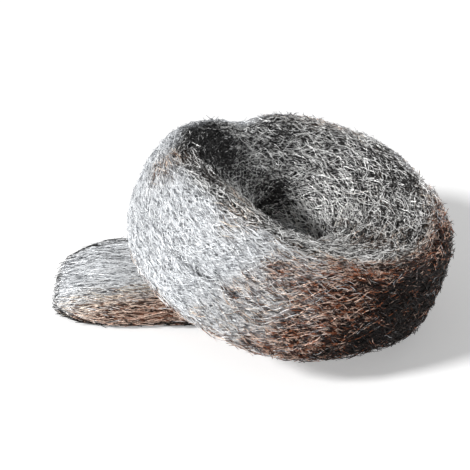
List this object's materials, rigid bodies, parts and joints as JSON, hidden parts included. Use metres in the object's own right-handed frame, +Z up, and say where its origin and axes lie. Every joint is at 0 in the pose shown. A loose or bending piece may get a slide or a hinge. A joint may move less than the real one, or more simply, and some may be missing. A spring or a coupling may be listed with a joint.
{
  "type": "steel wool roll",
  "caption": "Coreless roll of steel wool: a soft ribbon of steel strands wound into a coil that leans on its own drawn-out end. Torn off by hand for scouring and polishing.",
  "frame": {"origin": "on the floor, straight under the middle of the coil, on the flat underside of the drawn-out end", "axes": "+Z up; -X the way the drawn-out end runs, so the coil leans towards +X; -Y the side the picture looks at"},
  "size_m": [0.3154, 0.2537, 0.1464],
  "materials": {
    "steel_strands": "fibrous bright steel strands, dark in the gaps between them, browned by rust towards the lower right"
  },
  "bodies": {
    "root": {"steel_wool": "steel_strands"}
  },
  "joints": []
}
